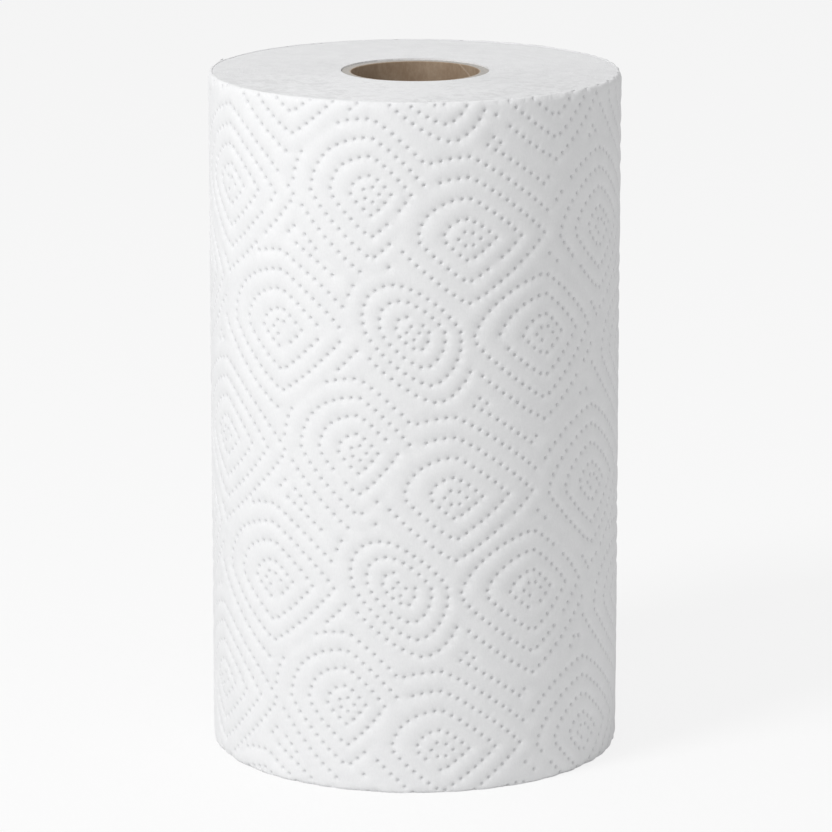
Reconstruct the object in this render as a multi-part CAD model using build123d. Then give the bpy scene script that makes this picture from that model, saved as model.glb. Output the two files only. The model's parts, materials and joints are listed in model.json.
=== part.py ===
from build123d import *
import os

# A paper towel roll: one long two-ply embossed sheet wound on a cardboard tube.
# Millimetres, +Z up along the roll's axis. The origin is on the axis, in the end
# face that the roll stands on, and -Y is the roll's front.

# ---- driving sizes -------------------------------------------------------------
sheet_width = 230.0           # the roll's height, because the sheet is wound square
roll_diameter = 137.4         # across the paper, midway through the last turn
sheet_thickness = 0.45        # two embossed plies lying on each other
core_bore_diameter = 42.4     # the hole that a holder's spindle goes through
core_wall = 3.5               # thick spiral-wound chipboard
core_recess = 0.6             # each cut end of the tube lies this far below the paper
tail_angle = 160.0            # where the last turn ends, degrees from +X towards +Y
paper_edge_round = 0.4        # the saw leaves the outer rim of the paper this soft
core_edge_round = 0.3         # the blunted inner and outer edges of the tube's cut ends

# ---- worked out from them --------------------------------------------------------
core_bore_radius = core_bore_diameter / 2
core_outer_radius = core_bore_radius + core_wall
core_length = sheet_width - 2 * core_recess
quarter_drop = sheet_thickness / 4    # radius lost in each quarter of the last turn


def direction(angle):
    """A unit vector in the XY plane, at this many degrees from +X towards +Y."""
    return Vector(1, 0).rotate(Axis.Z, angle)


def last_turn():
    """The outline of the winding from above: a spiral of four quarter arcs.

    Each arc is tangent to the one before and has a slightly shorter radius, so
    the turn comes back one sheet's thickness inside its start. The short line
    across that step is the cut edge of the tail.
    """
    radius = (roll_diameter + sheet_thickness) / 2
    centre = (direction(tail_angle) - direction(tail_angle + 90)) * (quarter_drop / 2)
    angle = tail_angle
    arcs = []
    for quarter in range(4):
        arcs.append(CenterArc(centre, radius, angle, 90))
        angle = angle + 90
        centre = centre + direction(angle) * quarter_drop
        radius = radius - quarter_drop
    tail_edge = Line(arcs[-1] @ 1, arcs[0] @ 0)
    return Wire(arcs + [tail_edge])


def upright_cylinder(radius, height):
    """A cylinder that stands on the XY plane, centred on the axis."""
    return Cylinder(radius, height, align=(Align.CENTER, Align.CENTER, Align.MIN))


def make_towel_winding():
    """All the turns of the sheet, as the one solid that they make together.

    Its hole is the size of the tube, because the first turn is stuck to it.
    """
    winding = extrude(Face(last_turn()), sheet_width)
    winding -= upright_cylinder(core_outer_radius, sheet_width)
    cut_edges = winding.edges().filter_by(GeomType.CIRCLE)
    outer_rim = [edge for edge in cut_edges if edge.radius > core_outer_radius + sheet_thickness]
    return fillet(outer_rim, paper_edge_round)


def make_core_tube():
    """The chipboard tube, which stops a little short of the paper at both ends."""
    tube = upright_cylinder(core_outer_radius, core_length)
    tube -= upright_cylinder(core_bore_radius, core_length)
    tube = fillet(tube.edges().filter_by(GeomType.CIRCLE), core_edge_round)
    return Pos(0, 0, core_recess) * tube


pieces = {
    "towel_winding": make_towel_winding(),
    "core_tube": make_core_tube(),
}

os.makedirs("parts", exist_ok=True)
for name, piece in pieces.items():
    piece.label = name
    export_step(piece, f"parts/{name}.step")
    size = piece.bounding_box().size
    print(f"{name}: {size.X:.2f} x {size.Y:.2f} x {size.Z:.2f} mm, {piece.volume / 1000:.1f} cm3")
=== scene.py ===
import json
import math
import random

import bpy
import numpy as np
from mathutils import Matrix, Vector, kdtree
from mathutils.geometry import delaunay_2d_cdt


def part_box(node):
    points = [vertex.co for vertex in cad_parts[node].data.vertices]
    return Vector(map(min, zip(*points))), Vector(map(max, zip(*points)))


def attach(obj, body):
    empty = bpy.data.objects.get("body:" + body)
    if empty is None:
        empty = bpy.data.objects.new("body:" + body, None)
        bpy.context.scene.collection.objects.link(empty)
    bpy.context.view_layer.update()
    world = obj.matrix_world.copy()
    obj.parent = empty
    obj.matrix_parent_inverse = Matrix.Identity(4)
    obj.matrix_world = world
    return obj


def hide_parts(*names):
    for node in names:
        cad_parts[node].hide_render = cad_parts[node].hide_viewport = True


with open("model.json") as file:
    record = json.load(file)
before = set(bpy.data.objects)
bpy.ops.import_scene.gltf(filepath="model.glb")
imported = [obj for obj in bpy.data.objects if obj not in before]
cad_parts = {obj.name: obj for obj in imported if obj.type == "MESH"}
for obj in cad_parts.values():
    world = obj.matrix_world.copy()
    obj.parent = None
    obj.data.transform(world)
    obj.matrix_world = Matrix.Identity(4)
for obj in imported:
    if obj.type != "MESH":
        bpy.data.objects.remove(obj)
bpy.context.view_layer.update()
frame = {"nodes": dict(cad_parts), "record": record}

# The looks of a paper towel roll: a dot-embossed sheet wound on a cardboard tube.
# Lengths are in millimetres and become metres where a mesh is made. The roll's
# axis is Z, its front is -Y, and the sheet unwinds from a tail on the back left.

METRES = 0.001

# ---- sizes from the frame ----------------------------------------------------------
winding_low, winding_high = (np.array(corner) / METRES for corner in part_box("towel_winding"))
core_low, core_high = (np.array(corner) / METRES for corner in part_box("core_tube"))
winding_points = frame["nodes"]["towel_winding"].data.vertices
mounts = {mount["name"]: mount for mount in frame["record"]["mounts"]}

roll_height = winding_high[2] - winding_low[2]
core_bottom, core_top = core_low[2], core_high[2]
core_outer = (core_high[0] - core_low[0]) / 2
core_bore = mounts["core_bore"]["dims"]["r_mm"]

# ---- the sheet ----------------------------------------------------------------------
SHEET_THICKNESS = 0.45        # two embossed plies, and the height of the tail's step
TAIL_ANGLE = 160.0            # degrees from +X towards +Y; the sheet runs on from here
FRONT_ANGLE = 270.0
SHEET_LENGTH = 255.0          # from the tail to the first perforated line
WIDEST_RADIUS = max(math.hypot(v.co.x, v.co.y) for v in winding_points) / METRES
TAIL_RADIUS = WIDEST_RADIUS - SHEET_THICKNESS / 8
ROLL_RADIUS = TAIL_RADIUS - SHEET_THICKNESS / 2
TURN = 2 * math.pi * ROLL_RADIUS
FRONT_ALONG = math.radians(FRONT_ANGLE - TAIL_ANGLE) * ROLL_RADIUS
TUCK = 4.0                    # how far the turn below runs on under the tail
SHELL = 1.4                   # how deep the modelled outer turn goes, a little past its pits

# ---- the embossing -------------------------------------------------------------------
# Rows of round pits run like contour lines round a few centres, and where two centres'
# rows meet they join in a soft V. Each centre is its place along the sheet from the
# roll's front, its height, the reach of its first row to the left, right, top and
# bottom, how far its rows lean sideways as they rise, and how round their upper left
# and their other three corners are. The group of centres repeats.
CENTRES = [
    (-47.0, 153.5, 8.0, 8.0, 6.4, 7.0, 0.0, 2.0, 1.15),
    (-14.0, 200.0, 7.0, 6.4, 6.1, 7.0, 0.0, 2.1, 1.15),
    (-0.5, 155.0, 5.2, 5.2, 5.2, 5.8, -0.35, 2.0, 1.5),
    (17.8, 185.3, 8.3, 9.2, 6.7, 7.1, 0.0, 2.0, 1.12),
    (46.0, 152.0, 8.8, 7.2, 6.6, 7.1, 0.0, 1.6, 1.15),
    (75.0, 183.5, 7.5, 8.0, 6.5, 7.0, 0.0, 1.6, 1.15),
]
REPEAT_AROUND = (148.6, -14.0)
REPEAT_UP = (4.4, 85.3)
ROWS = [0.42] + list(range(1, 10))
PIT_SPACING = 3.15            # along a row
PIT_JITTER = 0.1              # how far each pit strays from its even place
PIT_RADIUS = 1.02
PIT_DEPTH = 0.72
GROOVE_DEPTH = 0.38           # the shallow valley that each row of pits lies in
CLOSEST_PITS = 2.6            # a pit nearer than this to another is left out
FILL_SPACING = 1.9            # mesh points between the pits
EDGE_SPACING = 0.8            # mesh points along the cut edges
BROAD_SLACK = 0.07            # slow unevenness of the outer turn
FINE_SLACK = 0.05
TAIL_LIFT = 0.45              # how far the loose tail stands off
TAIL_LOOSE = 16.0             # over this length
RIM_ROUNDING = 0.75           # how far the soft rims curl in
RIM_REACH = 2.6               # over this height
RIM_ROW = 0.45                # an extra row of mesh points this near each rim
PIT_RINGS = ((0.36, 6), (0.68, 8), (PIT_RADIUS, 8))    # radius and mesh points of each
EDGE_MARGIN = 0.35            # mesh points of pits stay this far inside a piece's edges
CLEAR_OF_PITS = 1.5           # and those of the filling stay this far from a pit
INNER_SPACING = 6.0           # mesh points on the plain inner side
BOND_SPACING = 5.5            # from one small bond of the perforation to the next
BOND_WIDTH = 0.45
BOND_GAP = 0.14               # how far each cut end stands back between the bonds


def repeated_centres():
    """Every centre near the outer turn, measured along the sheet from the tail."""
    found = []
    for around in range(-2, 4):
        for up in range(-3, 3):
            for along, height, *shape in CENTRES:
                x = along + around * REPEAT_AROUND[0] + up * REPEAT_UP[0] + FRONT_ALONG
                z = height + around * REPEAT_AROUND[1] + up * REPEAT_UP[1]
                if -60 < x < TURN + 70 and -60 < z < roll_height + 60:
                    found.append((x, z, *shape))
    return np.array(found)


def row_number(points, centre):
    """How many rows out from this centre each point lies, as a continuous number."""
    x, z, left, right, top, bottom, lean, upper_left, corner = centre
    up = points[:, 1] - z
    across = points[:, 0] - x - lean * up
    power = np.where((across < 0) & (up > 0), upper_left, corner)
    across = np.abs(across) / np.where(across < 0, left, right)
    up = np.abs(up) / np.where(up > 0, top, bottom)
    return (across ** power + up ** power) ** (1 / power)


def nearest_row(points):
    """The row number from whichever centre has the lowest."""
    nearest = np.full(len(points), 99.0)
    for centre in centres:
        nearest = np.minimum(nearest, row_number(points, centre))
    return nearest


def row_outline(centre, row):
    """Points round one row of one centre, close together."""
    turn = np.linspace(0, 2 * math.pi, 1441)
    rays = np.stack([np.cos(turn), np.sin(turn)], axis=1)
    reach = row / row_number(rays + centre[:2], centre)
    return centre[:2] + rays * reach[:, None]


def evenly_along(line, closed):
    """Pit places along a line: whole spacings round a ring, half ones at open ends."""
    steps = np.hypot(*np.diff(line, axis=0).T)
    travelled = np.concatenate([[0], np.cumsum(steps)])
    count = max(1, round(travelled[-1] / PIT_SPACING))
    places = (np.arange(count) + (0.0 if closed else 0.5)) * travelled[-1] / count
    x = np.interp(places, travelled, line[:, 0])
    z = np.interp(places, travelled, line[:, 1])
    return list(zip(x, z))


def owned_stretches(line, owned):
    """The stretches of a ring where owned is true, joined across the ring's start."""
    if owned.all():
        return [(line, True)]
    first = int(np.argmin(owned))
    line = np.roll(line[:-1], -first, axis=0)
    owned = np.roll(owned[:-1], -first)
    edges = np.flatnonzero(np.diff(np.concatenate([[0], owned.astype(int), [0]])))
    return [(line[a:b], False) for a, b in zip(edges[::2], edges[1::2]) if b - a > 2]


def emboss_pits():
    """The centre of each pit on the outer turn, none too near another."""
    places = []
    for centre in centres:
        for row in ROWS:
            line = row_outline(centre, row)
            owned = row_number(line, centre) <= nearest_row(line) + 1e-6
            for stretch, closed in owned_stretches(line, owned):
                places += evenly_along(stretch, closed)
    kept = {}
    for x, z in places:
        cell = (int(x // CLOSEST_PITS), int(z // CLOSEST_PITS))
        near = [kept.get((cell[0] + i, cell[1] + j)) for i in (-1, 0, 1) for j in (-1, 0, 1)]
        clear = all(p is None or math.dist(p, (x, z)) > CLOSEST_PITS for p in near)
        if clear and -3 < x < TURN + 10 and -3 < z < roll_height + 3:
            stray_x = chance.uniform(-PIT_JITTER, PIT_JITTER)
            stray_z = chance.uniform(-PIT_JITTER, PIT_JITTER)
            kept[cell] = (x + stray_x, z + stray_z)
    return np.array(list(kept.values()))


def to_nearest_pit(points):
    """Distance from each point to its nearest pit, and that pit's number."""
    found = [pit_finder.find((x, z, 0)) for x, z in points]
    return np.array([f[2] for f in found]), np.array([f[1] for f in found])


def tail_lift(along):
    """How far the sheet stands off the turn below near its loose tail."""
    return TAIL_LIFT * np.clip(1 - along / TAIL_LOOSE, 0, 1) ** 2


def rim_rounding(along, from_edge):
    """How far the sheet's cut edges curl in, a little unevenly along them."""
    uneven = 1 + 0.3 * np.sin(along / 4.7) * np.sin(along / 13 + 1) + 0.15 * np.sin(along / 2.1)
    nearness = np.clip(1 - from_edge / (RIM_REACH * uneven), 0, 1)
    return RIM_ROUNDING * uneven * (1 - np.sqrt(1 - nearness ** 2))


def under_side(along):
    """Height of the plain inner side: a bare sheet at the tail, then down to the block."""
    loose = tail_lift(along) - SHEET_THICKNESS
    tucked = SHEET_THICKNESS * (along > TURN) - SHELL
    return np.where(along < TUCK, loose, tucked)


def relief(points):
    """Height of the embossed surface over the plain roll, and how far into a pit each point lies,
    which greys the pit: pressed plies and painted shade.
    """
    distance, pit = to_nearest_pit(points)
    reach = np.clip(distance / PIT_RADIUS, 0, 1)
    bowl = 1 - reach ** 2 * (3 - 2 * reach)
    groove = 0.5 + 0.5 * np.cos(2 * math.pi * nearest_row(points))
    x, z = points.T
    slack = BROAD_SLACK * np.sin(x / 31 + 1.0) * np.sin(z / 43 + 0.5)
    slack = slack + FINE_SLACK * np.sin(x / 13 + z / 23)
    from_edge = np.minimum(z, roll_height - z)
    flatter_tail = 0.35 + 0.65 * np.clip(x / TAIL_LOOSE, 0, 1)
    pressed = (GROOVE_DEPTH * groove + PIT_DEPTH * pit_strength[pit] * bowl) * flatter_tail
    return slack - pressed - rim_rounding(x, from_edge) * flatter_tail + tail_lift(x), bowl


def wrap(points, height):
    """Puts points of the flat sheet, with their heights, round the roll's spiral."""
    x, z = points.T
    turned = x / ROLL_RADIUS
    angle = math.radians(TAIL_ANGLE) + turned
    radius = TAIL_RADIUS - SHEET_THICKNESS * turned / (2 * math.pi) + height
    return np.stack([radius * np.cos(angle), radius * np.sin(angle), z], axis=1)


# ---- meshes -----------------------------------------------------------------------------
def make_piece(name, points, faces, finish, node, smooth_below=60):
    """A mesh object from points in millimetres, riding on the roll's one body."""
    mesh = bpy.data.meshes.new(name)
    mesh.from_pydata((points * METRES).tolist(), [], faces)
    mesh.materials.append(finish)
    mesh.shade_smooth()
    mesh.set_sharp_from_angle(angle=math.radians(smooth_below))
    piece = bpy.data.objects.new(name, mesh)
    bpy.context.scene.collection.objects.link(piece)
    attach(piece, "root")
    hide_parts(node)
    return piece


def triangulated(points):
    """Delaunay triangles over flat points, anticlockwise."""
    flat = [Vector(p) for p in points]
    corners, _, faces, sources, _, _ = delaunay_2d_cdt(flat, [], [], 0, 1e-7)
    number = [source[0] for source in sources]
    return [[number[i] for i in face] for face in faces]


def outline_points(start, end, start_shape, end_shape):
    """Points round the edge of a stretch of sheet, anticlockwise from its lower start."""
    along = np.linspace(0, 1, int((end - start) / EDGE_SPACING) + 1)[:-1]
    up = np.linspace(0, roll_height, int(roll_height / EDGE_SPACING) + 1)[:-1]
    down = up[::-1] + roll_height / len(up)
    bottom = np.stack([start + (end - start) * along, 0 * along], axis=1)
    right = np.stack([end + 0 * up, up], axis=1)
    top = np.stack([end - (end - start) * along, roll_height + 0 * along], axis=1)
    left = np.stack([start + 0 * down, down], axis=1)
    shaped = np.zeros(2 * len(along) + 2 * len(up))
    shaped[len(along):len(along) + len(up)] = end_shape(up)
    shaped[-len(up):] = start_shape(down)
    return np.concatenate([bottom, right, top, left]), shaped


def filling(start, end, spacing, clear_of_edge):
    """A staggered grid of points inside a stretch of sheet."""
    rise = spacing * math.sqrt(3) / 2
    rows = []
    for number, z in enumerate(np.arange(clear_of_edge, roll_height - clear_of_edge / 2, rise)):
        x = np.arange(start + clear_of_edge, end - clear_of_edge / 2, spacing)
        rows.append(np.stack([x + spacing / 2 * (number % 2), 0 * x + z], axis=1))
    for z in (RIM_ROW, roll_height - RIM_ROW):
        x = np.arange(start + clear_of_edge, end - clear_of_edge / 2, spacing)
        rows.append(np.stack([x, 0 * x + z], axis=1))
    points = np.concatenate(rows)
    return points[points[:, 0] < end - clear_of_edge / 2]


def pit_rings(start, end):
    """The mesh points of each pit in a stretch: its middle and three rings of points."""
    points = []
    for x, z in pits:
        if start - 1 < x < end + 1:
            points.append((x, z))
            first = chance.uniform(0, math.pi)
            for radius, count in PIT_RINGS:
                for k in range(count):
                    angle = first + radius + 2 * math.pi * k / count
                    points.append((x + radius * math.cos(angle), z + radius * math.sin(angle)))
    points = np.array(points)
    x, z = points.T
    inside = (x > start + EDGE_MARGIN) & (x < end - EDGE_MARGIN)
    inside = inside & (z > EDGE_MARGIN) & (z < roll_height - EDGE_MARGIN)
    return points[inside]


def make_sheet(name, start, end, start_shape, end_shape, finish):
    """One stretch of the outer turn: embossed outside, plain inside, closed at its edges."""
    edge, shift = outline_points(start, end, start_shape, end_shape)
    fill = filling(start, end, FILL_SPACING, 1.0)
    distance, _ = to_nearest_pit(fill)
    flat = np.concatenate([edge, pit_rings(start, end), fill[distance > CLEAR_OF_PITS]])
    back = np.concatenate([edge, filling(start, end, INNER_SPACING, 4.0)])
    outside_faces = triangulated(flat)
    inside_faces = triangulated(back)
    heights, pressed = relief(flat)
    inner_heights = under_side(back[:, 0])
    flat[:len(edge), 0] += shift
    back[:len(edge), 0] += shift
    points = np.concatenate([wrap(flat, heights), wrap(back, inner_heights)])
    inner = len(flat)
    faces = outside_faces + [[i + inner for i in reversed(face)] for face in inside_faces]
    for i in range(len(edge)):
        j = (i + 1) % len(edge)
        faces.append([j, i, i + inner, j + inner])
    piece = make_piece(name, points, faces, finish, "towel_winding")
    # how far into a pit each point lies, for darkening the pits: the greyer pressed plies and
    # painted shade in the hollows
    layer = piece.data.attributes.new("pressed", "FLOAT", "POINT")
    layer.data.foreach_set("value", np.concatenate([pressed, np.zeros(len(back))]))
    return piece


def torn_bonds(up):
    """The perforation's cut ends stand back from each other, except at the small bonds."""
    from_bond = np.mod(up, BOND_SPACING) - BOND_SPACING / 2
    bond = np.exp(-(from_bond / BOND_WIDTH) ** 2)
    return BOND_GAP * (1 - bond)


def torn_bonds_mirrored(up):
    """The same edge facing the other way: the perforation's near side and the torn tail."""
    return -torn_bonds(up)


def straight(up):
    """A plain edge, out of sight under the tail."""
    return 0 * up


# ---- the wound turns under the outer one, and the core ---------------------------------
AROUND = 144                  # mesh points in one turn
TURN_GROOVE = 0.1             # how far the gaps between turns lie below their cut edges
END_WAVE = 0.12               # slow unevenness of the cut ends


def end_height(points):
    """Slow waves of a cut end, which the turns slide past each other in."""
    x, y = points[:, 0], points[:, 1]
    radius = np.hypot(x, y)
    wave = np.sin(x / 9 + np.sin(y / 13) * 1.4) * np.sin(y / 11 - x / 29)
    rings = np.sin(radius / 1.7 + np.sin(x / 21) * 2) * 0.5 + np.sin(radius / 0.74 + y / 15) * 0.3
    return END_WAVE * (0.6 * wave + 0.4 * rings - 1)


def end_face(level, upward):
    """The cut turns seen on end: a spiral ribbon with a crest for every turn.

    Returns its points, its faces, and the numbers of its outer and inner loops.
    """
    outer = TAIL_RADIUS - SHELL
    turns = round((outer - core_outer) / SHEET_THICKNESS)
    pitch = (outer - core_outer) / turns
    step = np.arange(turns * AROUND + 1)
    angle = math.radians(TAIL_ANGLE) + step * 2 * math.pi / AROUND
    groove = outer - pitch * step / AROUND
    crest = (groove - pitch / 2)[:-AROUND]
    radius = np.concatenate([groove, crest, np.full(AROUND - 1, core_outer)])
    angle = np.concatenate([angle, angle[:-AROUND], angle[1:AROUND]])
    flat = np.stack([radius * np.cos(angle), radius * np.sin(angle)], axis=1)
    height = end_height(flat)
    height[:len(groove)] -= TURN_GROOVE * np.array([chance.uniform(0.3, 1.0) for _ in groove])
    points = np.column_stack([flat, level + upward * height])
    first_crest = len(groove)
    first_bore = first_crest + len(crest)
    last = turns * AROUND
    bore = [last] + list(range(first_bore, first_bore + AROUND - 1)) + [last]
    faces = []
    for s in range((turns - 1) * AROUND):
        c = first_crest + s
        faces += [[s, s + 1, c + 1, c], [c, c + 1, s + 1 + AROUND, s + AROUND]]
    for j in range(AROUND):
        s = last - AROUND + j
        faces.append([s, s + 1, bore[j + 1], bore[j]])
    faces[-1] = faces[-1][1:]
    faces[-AROUND] = faces[-AROUND] + [first_crest + last - AROUND]
    outer_loop = list(range(AROUND + 1)) + [first_crest]
    if upward < 0:
        faces = [face[::-1] for face in faces]
    return points, faces, outer_loop, bore[:-1]


def make_turns(finish):
    """Every turn under the outer one, as one closed block with its two cut ends."""
    top, top_faces, outer_loop, bore_loop = end_face(winding_high[2], 1)
    bottom, bottom_faces, _, _ = end_face(winding_low[2], -1)
    below = len(top)
    faces = top_faces + [[i + below for i in face] for face in bottom_faces]
    for loop, turned in ((outer_loop, False), (bore_loop, True)):
        for i, j in zip(loop, loop[1:] + loop[:1]):
            face = [i, i + below, j + below, j]
            faces.append(face[::-1] if turned else face)
    points = np.concatenate([top, bottom])
    return make_piece("wound_turns", points, faces, finish, "towel_winding")


CORE_AROUND = 180
CORE_ROUND = 0.3              # blunted edges of the cut ends
CORE_ROUGH = 0.05             # torn fibres on the cut ends
OUT_OF_ROUND = 0.06           # how far the bore is squeezed from a true circle


def core_profile():
    """The tube's section, from the bottom of its outside round to the bottom of its bore."""
    corner = [(1 - math.cos(a), math.sin(a)) for a in np.linspace(0, math.pi / 2, 4)]
    outside = [(core_outer - CORE_ROUND * c, core_top - CORE_ROUND * (1 - s)) for c, s in corner]
    inside = [(core_bore + CORE_ROUND * c, core_top - CORE_ROUND * (1 - s)) for c, s in corner]
    face = [(r, core_top) for r in np.linspace(outside[-1][0], inside[-1][0], 8)[1:-1]]
    upper = outside + face + inside[::-1]
    middle = core_bottom + core_top
    lower = [(r, middle - z) for r, z in upper[::-1]]
    bore = [(core_bore, z) for z in np.linspace(upper[-1][1], lower[0][1], 30)[1:-1]]
    return np.array(upper + bore + lower)


def make_core(finish):
    """The board tube with blunt, slightly rough cut ends."""
    section = core_profile()
    count = len(section)
    rows = []
    for k in range(CORE_AROUND):
        angle = 2 * math.pi * k / CORE_AROUND
        at_end = np.abs(np.abs(section[:, 1] - roll_height / 2) - (core_top - core_bottom) / 2) < 0.4
        rough = np.array([chance.uniform(-1, 1) for _ in section]) * CORE_ROUGH * at_end
        squeeze = OUT_OF_ROUND * math.sin(2 * angle + 0.7) * (section[:, 0] < core_bore + 0.1)
        radius = section[:, 0] + squeeze
        x, y = radius * math.cos(angle), radius * math.sin(angle)
        rows.append(np.column_stack([x, y, section[:, 1] + rough]))
    faces = []
    for k in range(CORE_AROUND):
        here, after = k * count, (k + 1) % CORE_AROUND * count
        for i in range(count):
            j = (i + 1) % count
            faces.append([here + i, after + i, after + j, here + j])
    return make_piece("core_board", np.concatenate(rows), faces, finish, "core_tube")


# ---- node maths -----------------------------------------------------------------------
class Flow:
    """An output of a shader node, which takes part in sums and products."""

    def __init__(self, finish, socket):
        self.finish = finish
        self.socket = socket

    def maths(self, operation, *others):
        inputs = dict(enumerate((self, *others)))
        return self.finish.node("ShaderNodeMath", {"operation": operation}, inputs)

    def __add__(self, other):
        return self.maths("ADD", other)

    def __mul__(self, other):
        return self.maths("MULTIPLY", other)

    def __sub__(self, other):
        return self.maths("SUBTRACT", other)

    def __truediv__(self, other):
        return self.maths("DIVIDE", other)

    def __rsub__(self, other):
        return self.finish.node("ShaderNodeMath", {"operation": "SUBTRACT"}, {0: other, 1: self})

    __radd__ = __add__
    __rmul__ = __mul__

    def between(self, low, high):
        """A smooth rise from 0 at low to 1 at high."""
        settings = {"interpolation_type": "SMOOTHSTEP"}
        inputs = {"Value": self, "From Min": low, "From Max": high}
        return self.finish.node("ShaderNodeMapRange", settings, inputs)

    def other_output(self, name):
        """Another output of the same node."""
        return Flow(self.finish, self.socket.node.outputs[name])


class Finish:
    """A material made of nodes."""

    def __init__(self, name):
        self.material = bpy.data.materials.new(name)
        self.material.use_nodes = True
        self.tree = self.material.node_tree
        self.tree.nodes.clear()

    def node(self, kind, settings, inputs, output=0):
        """Adds one node: its settings, then a value or a link for each named input."""
        added = self.tree.nodes.new(kind)
        for name, value in settings.items():
            setattr(added, name, value)
        for name, value in inputs.items():
            if isinstance(value, Flow):
                self.tree.links.new(value.socket, added.inputs[name])
            else:
                added.inputs[name].default_value = value
        return Flow(self, added.outputs[output])

    def place(self):
        return self.node("ShaderNodeTexCoord", {}, {}, "Object")

    def stretched(self, place, scale):
        inputs = {0: place, 1: scale}
        return self.node("ShaderNodeVectorMath", {"operation": "MULTIPLY"}, inputs)

    def noise(self, place, scale, detail=3.0, roughness=0.5):
        """Noise of about this many spots in a metre."""
        inputs = {"Vector": place, "Scale": scale, "Detail": detail, "Roughness": roughness}
        return self.node("ShaderNodeTexNoise", {}, inputs)

    def colour(self, amount, first, second):
        """The first colour turning into the second as amount goes from 0 to 1."""
        first, second = ((*c, 1) if isinstance(c, tuple) else c for c in (first, second))
        inputs = {0: amount, 6: first, 7: second}
        return self.node("ShaderNodeMix", {"data_type": "RGBA"}, inputs, 2)

    def bump(self, height, distance, strength):
        """Fine relief, this many metres deep where the height goes from 0 to 1."""
        inputs = {"Height": height, "Distance": distance, "Strength": strength}
        return self.node("ShaderNodeBump", {}, inputs)

    def done(self, inputs):
        surface = self.node("ShaderNodeBsdfPrincipled", {}, inputs)
        self.node_output(surface)
        return self.material

    def node_output(self, surface):
        added = self.tree.nodes.new("ShaderNodeOutputMaterial")
        self.tree.links.new(surface.socket, added.inputs["Surface"])


# ---- materials ---------------------------------------------------------------------------
TISSUE_DARK = (0.845, 0.848, 0.856)
TISSUE_LIGHT = (0.90, 0.902, 0.908)
# the pits' colour: tissue greyed by pressing, darkened further with painted shade
TISSUE_PRESSED_AND_PIT_SHADE = (0.60, 0.605, 0.615)
# the gaps between turns on the cut ends: painted shade
TISSUE_GAP_SHADE = (0.62, 0.62, 0.625)
KRAFT = (0.31, 0.222, 0.15)
KRAFT_PALE = (0.41, 0.315, 0.228)
# pale kraft: the strips' joints, and the lip round the bore on the cut ends, there with a painted
# highlight
KRAFT_SEAM_AND_LIP_HIGHLIGHT = (0.56, 0.46, 0.36)
GREY_BOARD = (0.42, 0.40, 0.375)
GREY_BOARD_PALE = (0.60, 0.57, 0.53)
PLY_LEAD = 78.0               # how far one turn of the spiral-wound strip climbs
PLY_JOINTS = 2                # strips side by side in the innermost ply
CLOUDS = 160                  # spots in a metre of each kind of noise
FIBRES = 2600
CREPING = 3300
BOARD_CLOUDS = 120
BOARD_FIBRES = 900


def towel_finish(name, end_grain):
    """Bleached tissue: faint clouds, short fibres, and the fine upright lines of creping.

    The pits are a little greyer: partly because both plies are pressed into one there, partly
    painted shade in their hollows.
    On the cut ends the gaps between the turns show as thin, broken, slightly darker lines of painted
    shade.
    """
    finish = Finish(name)
    place = finish.place()
    clouds = finish.noise(place, CLOUDS, 3)
    fibres = finish.noise(finish.stretched(place, (1, 1, 0.35)), FIBRES, 2, 0.6)
    shade = clouds.between(0.3, 0.7) * 0.5 + fibres.between(0.3, 0.7) * 0.5
    colour = finish.colour(shade, TISSUE_DARK, TISSUE_LIGHT)
    if end_grain:
        apart = finish.node("ShaderNodeSeparateXYZ", {}, {"Vector": place})
        x, y = apart, apart.other_output("Y")
        radius = (x * x + y * y).maths("SQRT") / METRES
        angle = y.maths("ARCTAN2", x) / (2 * math.pi)
        drift = finish.noise(place, 90, 2) * 0.5
        turn = (radius / SHEET_THICKNESS + angle + drift).maths("FRACT")
        # thin dark lines along the gaps between turns: painted shade
        line = 1 - (turn - 0.5).maths("ABSOLUTE").between(0.0, 0.22)
        patchy = finish.noise(place, 420, 2).between(0.42, 0.62)
        colour = finish.colour(line * patchy * 0.55, colour, TISSUE_GAP_SHADE)
        height = fibres * 0.5 - line * 0.5
    else:
        crepe = finish.noise(finish.stretched(place, (1, 1, 0.12)), CREPING, 1)
        pressed = finish.node("ShaderNodeAttribute", {"attribute_name": "pressed"}, {}, "Fac")
        # darker pits: partly the pressed plies, partly painted shade in their hollows
        colour = finish.colour(pressed * 0.7, colour, TISSUE_PRESSED_AND_PIT_SHADE)
        height = fibres * 0.6 + crepe * 0.4
    return finish.done({
        "Base Color": colour,
        "Roughness": 0.93,
        "Specular IOR Level": 0.2,
        "Normal": finish.bump(height, 0.00012, 0.55),
    })


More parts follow.
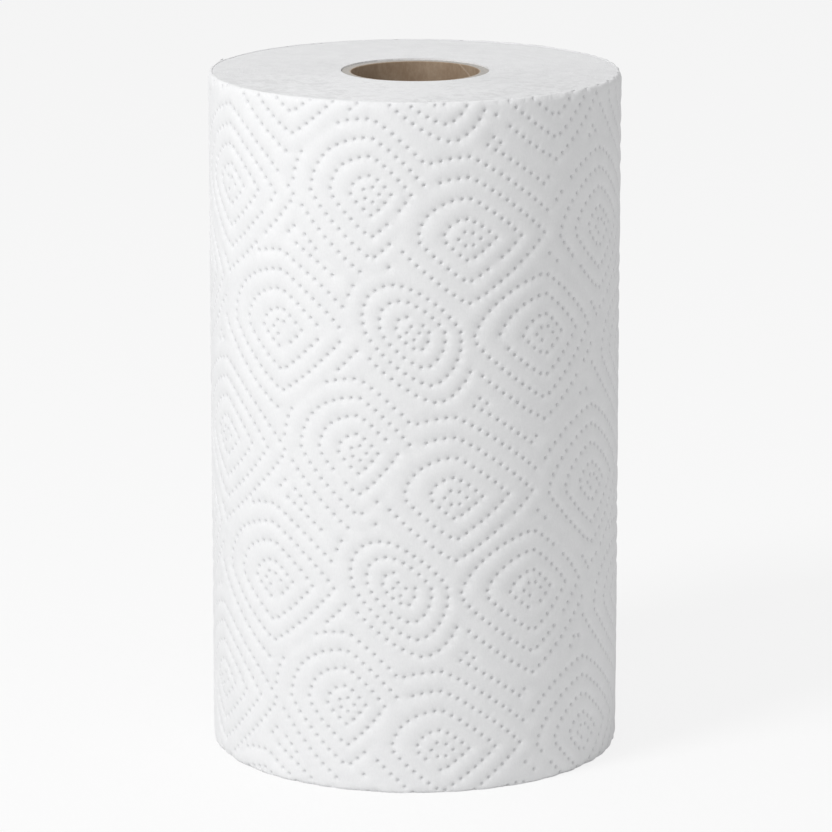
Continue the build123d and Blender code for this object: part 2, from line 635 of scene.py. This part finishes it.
def core_finish():
    """Kraft board inside, with the edges of its spiral strips, and grey board on the cut ends, with
    a pale line round the bore: the inner ply's edge and a painted highlight.
    """
    finish = Finish("core_chipboard")
    place = finish.place()
    apart = finish.node("ShaderNodeSeparateXYZ", {}, {"Vector": place})
    x, y, z = apart, apart.other_output("Y"), apart.other_output("Z")
    radius = (x * x + y * y).maths("SQRT") / METRES
    angle = y.maths("ARCTAN2", x) / (2 * math.pi)
    strip = (z / (PLY_LEAD * METRES) - angle) * PLY_JOINTS + 0.37
    across = strip.maths("FRACT")
    joint = (across - 0.5).maths("ABSOLUTE").between(0.484, 0.498)
    fibres = finish.noise(finish.stretched(place, (1, 1, 0.5)), BOARD_FIBRES, 4, 0.65)
    clouds = finish.noise(place, BOARD_CLOUDS, 3)
    mottle = clouds.between(0.35, 0.65) * 0.5 + fibres.between(0.35, 0.7) * 0.5
    kraft = finish.colour(mottle, KRAFT, KRAFT_PALE)
    kraft = finish.colour(joint * 0.5, kraft, KRAFT_SEAM_AND_LIP_HIGHLIGHT)
    plies = (radius * 2.4 + clouds).maths("FRACT").between(0.2, 0.9)
    board = finish.colour(plies * 0.5 + fibres.between(0.4, 0.6) * 0.4, GREY_BOARD, GREY_BOARD_PALE)
    on_end = radius.between(core_bore + 0.15, core_bore + 0.5)
    # a pale line round the bore on each cut end: the inner kraft ply's edge, with a painted
    # highlight
    ply_edge_and_highlight = (1 - (radius - (core_bore + 0.35)).maths("ABSOLUTE").between(0.1, 0.5)) * on_end
    board = finish.colour(ply_edge_and_highlight * 0.7, board, KRAFT_SEAM_AND_LIP_HIGHLIGHT)
    colour = finish.colour(on_end, kraft, board)
    return finish.done({
        "Base Color": colour,
        "Roughness": 0.85,
        "Specular IOR Level": 0.3,
        "Normal": finish.bump(fibres - joint * 0.5, 0.0002, 0.6),
    })


# ---- the roll ------------------------------------------------------------------------------
centres = repeated_centres()
chance = random.Random(7)
pits = emboss_pits()
pit_strength = np.array([chance.uniform(0.85, 1.1) for _ in pits])
pit_finder = kdtree.KDTree(len(pits))
for number, (x, z) in enumerate(pits):
    pit_finder.insert((x, z, 0), number)
pit_finder.balance()

towel = towel_finish("towel_tissue", end_grain=False)


make_sheet("first_towel", 0, SHEET_LENGTH, torn_bonds_mirrored, torn_bonds_mirrored, towel)
make_sheet("second_towel", SHEET_LENGTH, TURN + TUCK, torn_bonds, straight, towel)

make_turns(towel_finish("towel_cut_ends", end_grain=True))
make_core(core_finish())

# ---- floor, light and camera -------------------------------------------------------------
CAMERA_DISTANCE = 22.085      # in roll radii, from the axis
CAMERA_HEIGHT = 6.809         # in roll radii, above the floor
CAMERA_DOWN = 13.21           # degrees
CAMERA_LENS = 199.35          # on a 36 mm sensor
CAMERA_SIDE = 0.32            # millimetres to the right of the axis
FLOOR_HALF = 8.0              # metres
FLOOR_WHITE = (0.88, 0.88, 0.88, 1)
FLOOR_SHOWN_WHITE = 0.8       # how much of the floor's shading is hidden from the camera
SKY_STRENGTH = 0.55
KEY_PLACE = (-1.01, -0.94, 1.495)    # metres: high up, to the front left
KEY_SIZE = 0.55
KEY_POWER = 18


def make_camera():
    camera = bpy.data.objects.new("camera", bpy.data.cameras.new("camera"))
    camera.data.lens = CAMERA_LENS
    camera.data.sensor_width = 36.0
    camera.data.clip_end = 50
    camera.location = (
        CAMERA_SIDE * METRES,
        -CAMERA_DISTANCE * ROLL_RADIUS * METRES,
        CAMERA_HEIGHT * ROLL_RADIUS * METRES,
    )
    camera.rotation_euler = (math.radians(90 - CAMERA_DOWN), 0, 0)
    bpy.context.scene.collection.objects.link(camera)
    bpy.context.scene.camera = camera


def seen_white(finish, surface, share):
    """Shows this share of plain white instead to the camera and in reflections."""
    path = finish.node("ShaderNodeLightPath", {}, {}, "Is Camera Ray")
    glossy = path.other_output("Is Glossy Ray")
    through = path.other_output("Is Transmission Ray")
    white = finish.node("ShaderNodeEmission", {}, {"Color": (1, 1, 1, 1), "Strength": 1.0})
    seen = path.maths("MAXIMUM", glossy).maths("MAXIMUM", through) * share
    return finish.node("ShaderNodeMixShader", {}, {0: seen, 1: surface, 2: white})


def make_floor():
    mesh = bpy.data.meshes.new("floor")
    corners = [(x * FLOOR_HALF, y * FLOOR_HALF, 0) for x, y in ((-1, -1), (1, -1), (1, 1), (-1, 1))]
    mesh.from_pydata(corners, [], [[0, 1, 2, 3]])
    finish = Finish("floor_white")
    diffuse = finish.node("ShaderNodeBsdfDiffuse", {}, {"Color": FLOOR_WHITE})
    finish.node_output(seen_white(finish, diffuse, FLOOR_SHOWN_WHITE))
    mesh.materials.append(finish.material)
    floor = bpy.data.objects.new("floor", mesh)
    bpy.context.scene.collection.objects.link(floor)


def soft_light(name, place, target, size, power):
    light = bpy.data.lights.new(name, "AREA")
    light.shape = "DISK"
    light.size = size
    light.energy = power
    lamp = bpy.data.objects.new(name, light)
    lamp.location = place
    lamp.rotation_euler = (Vector(target) - Vector(place)).to_track_quat("-Z", "Y").to_euler()
    bpy.context.scene.collection.objects.link(lamp)


def make_world(strength):
    world = bpy.data.worlds.new("studio")
    bpy.context.scene.world = world
    world.use_nodes = True
    background = world.node_tree.nodes["Background"]
    background.inputs["Color"].default_value = (1, 1, 1, 1)
    background.inputs["Strength"].default_value = strength


make_camera()
make_floor()
make_world(SKY_STRENGTH)
middle = (0, 0, roll_height / 2 * METRES)
soft_light("key", KEY_PLACE, middle, KEY_SIZE, KEY_POWER)
bpy.context.scene.view_settings.view_transform = "Standard"
